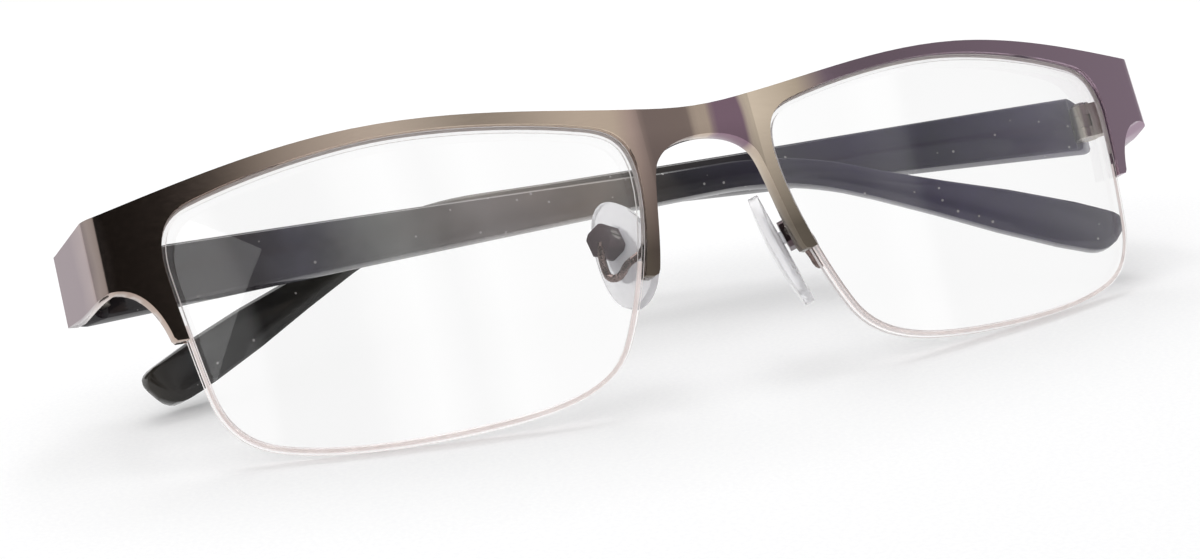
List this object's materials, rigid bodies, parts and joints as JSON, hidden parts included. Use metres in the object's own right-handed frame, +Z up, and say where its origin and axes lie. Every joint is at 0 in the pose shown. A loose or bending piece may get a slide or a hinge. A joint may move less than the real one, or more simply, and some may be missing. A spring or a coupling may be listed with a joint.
{
  "type": "half-rim reading glasses",
  "caption": "Folded half-rim reading glasses: metal brow front, clear lenses hung on nylon lines, adjustable nose pads and folding bent temples.",
  "frame": {"origin": "on the table, under the middle of the folded glasses' bounding box", "axes": "+X from the wearer's right to the wearer's left along the front, +Y from the front towards the temples, +Z up from the table"},
  "size_m": [0.1402, 0.0494, 0.0331],
  "materials": {
    "gunmetal_rim": "glossy gunmetal plating",
    "lens": "polished clear lens",
    "nylon": "clear nylon line",
    "nickel_wire": "plated wire",
    "gunmetal_box": "plated",
    "steel_screw": "polished steel",
    "nickel_hinge": "nickel silver",
    "steel_core": "drawn wire",
    "temple_plastic": "polished",
    "pad_silicone": "clear soft silicone",
    "pad_core": "clear hard plastic"
  },
  "bodies": {
    "front": {"brow_front": "gunmetal_rim", "lens_right": "lens", "lens_left": "lens", "rim_liner_right": "nylon", "rim_liner_left": "nylon", "lens_line_right": "nylon", "lens_line_left": "nylon", "pad_arm_right": "nickel_wire", "pad_arm_left": "nickel_wire", "pad_box_right": "gunmetal_box", "pad_box_left": "gunmetal_box", "pad_screw_right": "steel_screw", "pad_screw_left": "steel_screw", "front_hinge_right": "nickel_hinge", "front_hinge_left": "nickel_hinge", "hinge_screw_right": "steel_screw", "hinge_screw_left": "steel_screw"},
    "temple_right": {"temple_right": "temple_plastic", "temple_hinge_right": "nickel_hinge", "temple_core_right": "steel_core"},
    "temple_left": {"temple_left": "temple_plastic", "temple_hinge_left": "nickel_hinge", "temple_core_left": "steel_core"},
    "nose_pad_right": {"nose_pad_right": "pad_silicone", "pad_core_right": "pad_core"},
    "nose_pad_left": {"nose_pad_left": "pad_silicone", "pad_core_left": "pad_core"}
  },
  "joints": [
    {"name": "temple_left_fold", "type": "hinge", "parent": "front", "child": "temple_left", "pos_m": [0.0662, 0.00659, 0.0164], "axis": [-0.0642, -0.4731, -0.8787], "range_deg": [0, 81]},
    {"name": "temple_right_fold", "type": "hinge", "parent": "front", "child": "temple_right", "pos_m": [-0.0662, 0.00659, 0.0164], "axis": [-0.023, 0.474, 0.8802], "range_deg": [0, 87.43]},
    {"name": "nose_pad_right_rock", "type": "hinge", "parent": "front", "child": "nose_pad_right", "pos_m": [-0.01161, -0.01226, 0.01632], "axis": [-0.4977, 0.5201, -0.6941], "range_deg": [-8, 8]},
    {"name": "nose_pad_left_rock", "type": "hinge", "parent": "front", "child": "nose_pad_left", "pos_m": [0.01145, -0.01369, 0.01423], "axis": [0.4753, 0.7124, -0.5163], "range_deg": [-8, 8]}
  ],
  "couplings": [
    {"joint": "temple_right_fold", "follows": "temple_left_fold", "ratio": 0.4}
  ]
}
